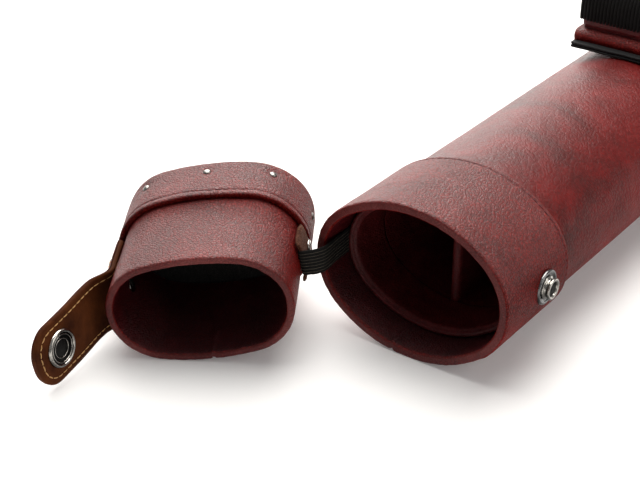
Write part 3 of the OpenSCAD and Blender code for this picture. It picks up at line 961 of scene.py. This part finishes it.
def snap():
    place = STRAP_PLACE @ Matrix.Translation((0, -SNAP_REACH, 0))
    rim = STRAP_T / 2
    ring = [(7.15, rim + 0.1), (7.1, rim + 0.8), (7.35, rim + 1.35), (7.7, rim + 1.6), (8.1, rim + 1.55),
            (8.5, rim + 1.2), (8.8, rim + 0.7), (8.85, rim + 0.2), (8.6, rim - 0.2), (7.2, rim - 0.2)]
    socket_floor = [(0.02, rim + 0.25), (7.3, rim + 0.25), (7.3, rim - 0.3), (0.02, rim - 0.3)]
    piece("snap_socket_ring", *revolve(ring + ring[:1], 64), NICKEL, "strap", "nickel", place,
          ["snap_socket"])
    # A near-black floor in the socket: painted shade.
    piece("snap_socket_floor", *revolve(socket_floor, 48), SHADE_BLACK, "strap", "nickel", place)
    parts = []
    for radius, height, wire in ((6.4, rim + 0.95, 0.28), (4.4, rim + 0.5, 0.2)):
        loop = [(height, radius * math.cos(a), radius * math.sin(a))
                for a in np.linspace(0, 2 * math.pi, 48, endpoint=False)]
        parts.append(rope(loop, wire, 8, closed=True))
    piece("snap_spring_rings", *merge(parts), NICKEL, "strap", "nickel", place, ["snap_spring"])
    cap_dome = [(0.02, -rim - 1.75), (2.5, -rim - 1.65), (5.0, -rim - 1.3), (6.8, -rim - 0.75),
                (7.6, -rim - 0.2), (7.5, -rim + 0.1), (0.02, -rim + 0.1)]
    piece("snap_cap_dome", *revolve(cap_dome, 56), NICKEL, "strap", "nickel", place, ["snap_cap"])


# ---- Tether ----
def smooth_path(points, count):
    """A Catmull-Rom curve through points."""
    pts = [Vector(p) for p in points]
    pts = [pts[0] * 2 - pts[1]] + pts + [pts[-1] * 2 - pts[-2]]
    spans = len(pts) - 3
    out = []
    for k in range(count + 1):
        u = k / count * spans
        i = min(int(u), spans - 1)
        t = u - i
        p0, p1, p2, p3 = pts[i:i + 4]
        out.append(0.5 * ((2 * p1) + (p2 - p0) * t + (2 * p0 - 5 * p1 + 4 * p2 - p3) * t * t
                          + (3 * p1 - p0 - 3 * p2 + p3) * t * t * t))
    return out


def ribbed_band(path, uppers, width, thick, ribs=8, per_rib=8):
    """A flat elastic band along a path; uppers gives the direction across it at each point."""
    n = len(path)
    cols = ribs * per_rib
    rings = []
    for i in range(n):
        d = (path[min(i + 1, n - 1)] - path[max(i - 1, 0)]).normalized()
        up = (uppers[i] - d * uppers[i].dot(d)).normalized()
        out = d.cross(up)
        ring = []
        for side in (1, -1):
            order = range(cols + 1) if side > 0 else range(cols, -1, -1)
            for k in order:
                v = k / cols
                wave = abs(math.sin(math.pi * ribs * v)) ** 0.6
                edge = 0.35 + 0.65 * min(1.0, 12 * min(v, 1 - v))
                off = side * thick / 2 * (0.45 + 0.55 * wave) * edge
                ring.append(path[i] + up * (v - 0.5) * width + out * off)
        rings.append(ring)
    return np.array([tuple(p) for ring in rings for p in ring]), band_faces(n, len(rings[0]))


def rib_lines(path, uppers, width, thick, ribs):
    """Thin lighter lines in the grooves between a band's ribs, on both faces."""
    parts = []
    for face in (1, -1):
        for k in range(1, ribs):
            line = []
            for i, p in enumerate(path):
                d = (path[min(i + 1, len(path) - 1)] - path[max(i - 1, 0)]).normalized()
                up = (uppers[i] - d * uppers[i].dot(d)).normalized()
                line.append(p + up * (k / ribs - 0.5) * width + d.cross(up) * face * thick * 0.34)
            parts.append(rope(line, 0.17, 6))
    return merge(parts)


def bend_tether(obj):
    """Moves the elastic's placement into its mesh."""
    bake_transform(obj)


def tether():
    wall = COLLAR_W / 2 - SLEEVE_T
    cap_side = CAP_W / 2 + 0.8
    on_cap = [tuple(CAP_PLACE @ Vector((cap_side, y, 0))) for y in (PATCH_FROM + 0.5, PATCH_FROM + 5)]
    points = [
        (-wall + 0.9, 33, AXIS_Z), (-wall + 0.95, 20, AXIS_Z), (-wall + 1.5, 12, AXIS_Z),
        (-43.6, 6, AXIS_Z), (-42.9, 1, AXIS_Z), (-42.7, -3.5, AXIS_Z), (-44.2, -7.5, AXIS_Z),
        (-46.1, -10.0, AXIS_Z), *on_cap,
    ]
    path = smooth_path(points, 90)
    cap_up = (CAP_PLACE.to_3x3() @ Vector((0, 0, 1))).normalized()
    uppers = [Vector((0, 0, 1)).lerp(cap_up, min(1, max(0, (k - 40) / 35))) for k in range(91)]
    thick = 1.5
    bend_tether(piece("tether_band", *ribbed_band(path, uppers, ELASTIC_W, thick), ELASTIC, None,
                      "ribbed", None, ["tether_elastic", "tether_anchor"]))
    bend_tether(piece("tether_rib_lines", *rib_lines(path, uppers, ELASTIC_W, thick, 8), LIGHT_GROOVE_LINES, None,
                      "ribbed", None))
    tail = [CAP_PLACE @ Vector((CAP_W / 2 + 0.62, y, 0))
            for y in np.linspace(PATCH_FROM + 1, PATCH_TO - 0.5, 12)]
    tail_band = ribbed_band(tail, [cap_up] * len(tail), ELASTIC_W - 0.4, 1.1)
    piece("tether_tail_band", *tail_band, ELASTIC, "cap", "ribbed", None, ["tether_tail"])


def patch():
    """The raw-edged leather patch that holds the elastic on the cap's side."""
    front, back, half = PATCH_FROM, PATCH_TO, PATCH_W / 2
    rows = []
    count = 25
    for layer in (3.0, 1.25):
        for v in np.linspace(0, 1, count):
            for u in np.linspace(-1, 1, count):
                corner = max(abs(u), abs(2 * v - 1))
                y = front + (back - front) * v
                z = u * half * (1 - 0.10 * max(0, abs(2 * v - 1) - 0.6) / 0.4)
                lift = 0.25 * soft_noise((y, z, layer), 0.25)
                if corner > 0.97:
                    lift += -0.45 if layer > 2 else 0.3
                radius = CAP_R + layer + lift
                angle = z / (CAP_R + 2)
                rows.append((CAP_W / 2 - CAP_R + radius * math.cos(angle), y, radius * math.sin(angle)))
    piece("tether_leather_patch", rows, sheet_faces(count, count), EDGE_LEATHER, "cap", "patch",
          CAP_PLACE, ["tether_patch"])
    eyelet = rivet(0, EYELET_DEPTH, 3.2, 3.6, hollow=True)
    piece("tether_eyelet_ring", *merge(eyelet), NICKEL, "cap", "nickel", CAP_PLACE, ["tether_eyelet"])


def strap_root_rivets():
    parts = []
    for a in RIVET_ANGLES:
        parts += rivet(a, RIVET_DEPTH, STRAP_T + 0.3, 3.8)
    piece("strap_root_rivets", *merge(parts), NICKEL, "cap", "nickel", CAP_PLACE, ["strap_rivets"])


# ---- Handle ----
HANDLE_MID = SADDLE_FRONT + HANDLE_LEN / 2


def across(name, outline, half, rounding, material, slot, flip, replaces, ripple=0.25):
    """A piece whose closed (distance behind the pad's front, height) outline runs from side to
    side, with rounded ends; flip puts it at the back end of the handle."""
    outline = np.array([tuple(p)[:2] for p in outline])
    middle = outline.mean(axis=0)
    xs = [-half, *np.linspace(-half + 0.25 * rounding, -half + rounding, 4),
          *np.linspace(-half + rounding, half - rounding, 40)[1:-1],
          *np.linspace(half - rounding, half - 0.25 * rounding, 4), half]
    rings = []
    for x in xs:
        past = max(0.0, abs(x) - (half - rounding)) / rounding
        pull = rounding * (1 - math.sqrt(max(0.0, 1 - past * past)))
        ring = []
        for y, z in outline:
            away = np.array([y, z]) - middle
            reach = np.linalg.norm(away)
            y1, z1 = middle + away * (1 - 0.7 * min(pull, reach) / reach)
            y1 = SADDLE_FRONT + y1 + ripple * soft_noise((x, y, z), 0.09)
            z1 += 0.6 * ripple * soft_noise((x, z, y), 0.08)
            ring.append((x, 2 * HANDLE_MID - y1 if flip else y1, z1))
        rings.append(ring)
    cols = len(outline)
    faces = grid_faces(len(rings), cols, False, True)
    faces += [tuple(range(cols)), tuple(range((len(rings) - 1) * cols, len(rings) * cols))]
    return piece(name, np.array(rings).reshape(-1, 3), faces, material, "case", slot, None, replaces)


def rounded(corners, count=70):
    return [tuple(p) for p in smooth_path([(y, z, 0) for y, z in corners + corners[:1]], count)][:-1]


def saddle(end, flip):
    """The leather pad that lies across the top of the tube, its front lip rolled over."""
    outline = rounded([
        (0.3, PAD_FOOT + 0.8), (0.1, 76.0), (0.2, 77.4), (-0.4, 78.6), (-0.3, 80.0), (0.6, 81.6),
        (2.6, 82.7), (6, PAD_TOP), (14, PAD_TOP), (24, PAD_TOP), (33, PAD_TOP), (36.5, 82.5),
        (37.8, 80.6), (37.9, 77),
        (37.6, PAD_FOOT + 0.7), (30, PAD_FOOT + 0.3), (18, PAD_FOOT + 0.3), (6, PAD_FOOT + 0.3),
    ], 110)
    obj = across(f"{end}_saddle_pad", outline, PAD_HALF, 2.0, COLLAR_LEATHER, "leatherette", flip,
                 [f"{end}_saddle"])


def binding(end, flip):
    """The black bound edge in front of the pad: two thin layers, one above the other."""
    for layer, low, high in (("lower", 74.0, 75.6), ("upper", 75.7, 77.3)):
        outline = rounded([(-3.8, low + 0.2), (-4.1, (low + high) / 2), (-3.8, high - 0.2), (-2.5, high),
                           (-0.4, high), (0.1, high - 0.3), (0.1, low + 0.2), (-1.5, low)], 40)
        across(f"{end}_binding_{layer}", outline, PAD_HALF - 0.6, 1.2, BINDING, "binding", flip,
               [f"{end}_binding"] if layer == "lower" else [], ripple=0.4)


def keeper(end, flip):
    """The waist of leather that the grip rises out of, in the darker lining leather as painted shade under
    the grip.
    """
    outline = rounded([
        (4.6, 82.4), (4.4, 84.0), (3.2, 85.4), (2.9, 87.0), (3.3, 88.8), (4.6, KEEPER_TOP - 0.2),
        (10, KEEPER_TOP), (20, KEEPER_TOP - 0.1), (24.5, 89.2), (28, 86.6), (32, 84.0), (34, 82.4),
        (20, 82.0),
    ], 90)
    across(f"{end}_keeper_waist", outline, KEEPER_HALF + 1.2, 3.0, LINING_LEATHER, "lining", flip,
           [f"{end}_keeper"], ripple=0.5)


def webbing():
    """The wide ribbed grip, its ribs along its length."""
    y0, y1 = SADDLE_FRONT + 2.2 + WEB_T / 2, SADDLE_FRONT + HANDLE_LEN - 2.2 - WEB_T / 2
    r = 15.0
    top = WEB_TOP - WEB_T / 2
    foot = KEEPER_TOP - 2.0
    path = [Vector((0, y0, z)) for z in np.linspace(foot, top - r, 4)]
    path += [Vector((0, y0 + r - r * math.cos(a), top - r + r * math.sin(a)))
             for a in np.linspace(0.12, math.pi / 2, 14)]
    path += [Vector((0, y, top + 0.9 * math.sin(math.pi * (y - y0) / (y1 - y0))))
             for y in np.linspace(y0 + r + 4, y1 - r - 4, 30)]
    path += [Vector((0, y1 - r + r * math.sin(a), top - r + r * math.cos(a)))
             for a in np.linspace(0, math.pi / 2 - 0.12, 14)]
    path += [Vector((0, y1, z)) for z in np.linspace(top - r, foot, 4)]
    grip = ribbed_band(path, [Vector((1, 0, 0))] * len(path), WEB_W, WEB_T - 0.4, ribs=34, per_rib=6)
    piece("handle_band", *grip, ELASTIC, "case", "ribbed", None, ["handle_webbing"])


# ---- Build ----
def paint(node, material):
    """A CAD node whose shape is right keeps it and gets this material."""
    obj = frame["nodes"][node]
    obj.data.materials.clear()
    obj.data.materials.append(material)


collar()
ring_stitches("collar_stitching", CASE_OVAL, COLLAR_LEN - 2.75, 0.25, CASE_PLACE, "case")
tube()
mouth_lining()
divider_edge()
back_end()
ring_stitches("back_sleeve_stitching", CASE_OVAL, SLEEVE_START + 2.85, 0.25, CASE_PLACE, "case")
tacks("back_tacks", CASE_OVAL, 0.0, CASE_LEN - SLEEVE_TACK_INSET, [a for a in TACK_ANGLES if a != 270],
      "case", CASE_PLACE, ["end_tacks"])
stud()
cap()
ring_stitches("cap_band_stitching", CAP_OVAL, CAP_LEN - BAND_LEN + 3.9, -BAND_RISE + 0.35, CAP_PLACE, "cap")
tacks("cap_band_tacks", CAP_OVAL, BAND_RISE - 0.45, CAP_LEN - BAND_TACK_INSET, TACK_ANGLES, "cap",
      CAP_PLACE, ["cap_tacks"])
cap_end_lining()
strap_layer("strap_outer_leather", -STRAP_T / 2, -0.9, COLLAR_LEATHER, "leatherette",
            ["strap_face", "strap_root"], grow=-0.5)
strap_layer("strap_inner_suede", -0.85, STRAP_T / 2, SUEDE, "suede", ["strap_backing"])
strap_stitching("strap_gold_stitching", STRAP_T / 2, GOLD_THREAD, 1)
strap_stitching("strap_back_stitching", -STRAP_T / 2, GOLD_THREAD, -1)
snap()
strap_root_rivets()
tether()
patch()
for end, flip in (("front", False), ("rear", True)):
    saddle(end, flip)
    binding(end, flip)
    keeper(end, flip)
webbing()
for node in ("left_liner", "right_liner", "divider"):
    paint(node, LINING_LEATHER)
for node in ("left_end_pad", "right_end_pad"):
    paint(node, FELT)
paint("tube_core", BOARD)
for node in ("end_plug", "cap_plug"):
    paint(node, WOOD)
paint("stud_rivet", NICKEL)


# ---- Floor and light ----
def floor():
    s = Shader("floor_paint")
    speck = s.noise(0.02, detail=2)
    s.finish(s.ramp(speck, (0.3, 0.93), (0.7, 0.95)), 0.6,
             Emission_Strength=0.12, Emission_Color=(1, 1, 1, 1))
    mesh = bpy.data.meshes.new("floor")
    size = 12.0
    corners = [(-size, -size, 0), (size, -size, 0), (size, size, 0), (-size, size, 0)]
    mesh.from_pydata(corners, [], [(0, 1, 2, 3)])
    mesh.materials.append(s.material)
    obj = bpy.data.objects.new("floor", mesh)
    bpy.context.scene.collection.objects.link(obj)


def area_light(name, location, target, size, energy, colour=(1, 0.97, 0.93)):
    data = bpy.data.lights.new(name, "AREA")
    data.shape = "RECTANGLE"
    data.size, data.size_y = size
    data.energy = energy
    data.color = colour
    obj = bpy.data.objects.new(name, data)
    obj.location = location
    obj.rotation_euler = (Vector(target) - Vector(location)).to_track_quat("-Z", "Y").to_euler()
    bpy.context.scene.collection.objects.link(obj)


def world():
    w = bpy.data.worlds.new("studio")
    bpy.context.scene.world = w
    w.use_nodes = True
    background = w.node_tree.nodes["Background"]
    background.inputs["Color"].default_value = (1, 1, 1, 1)
    background.inputs["Strength"].default_value = 0.2


floor()
world()
area_light("overhead", (-0.3, 0.5, 1.5), (0, 0.2, 0), (1.6, 1.6), 39)
area_light("back_left", (-1.4, 1.3, 0.9), (0, 0.1, 0.03), (1.4, 1.2), 30)
area_light("right_fill", (1.3, 0.3, 0.9), (0, 0.1, 0.03), (1.2, 1.0), 5)
bpy.context.scene.view_settings.view_transform = "Standard"
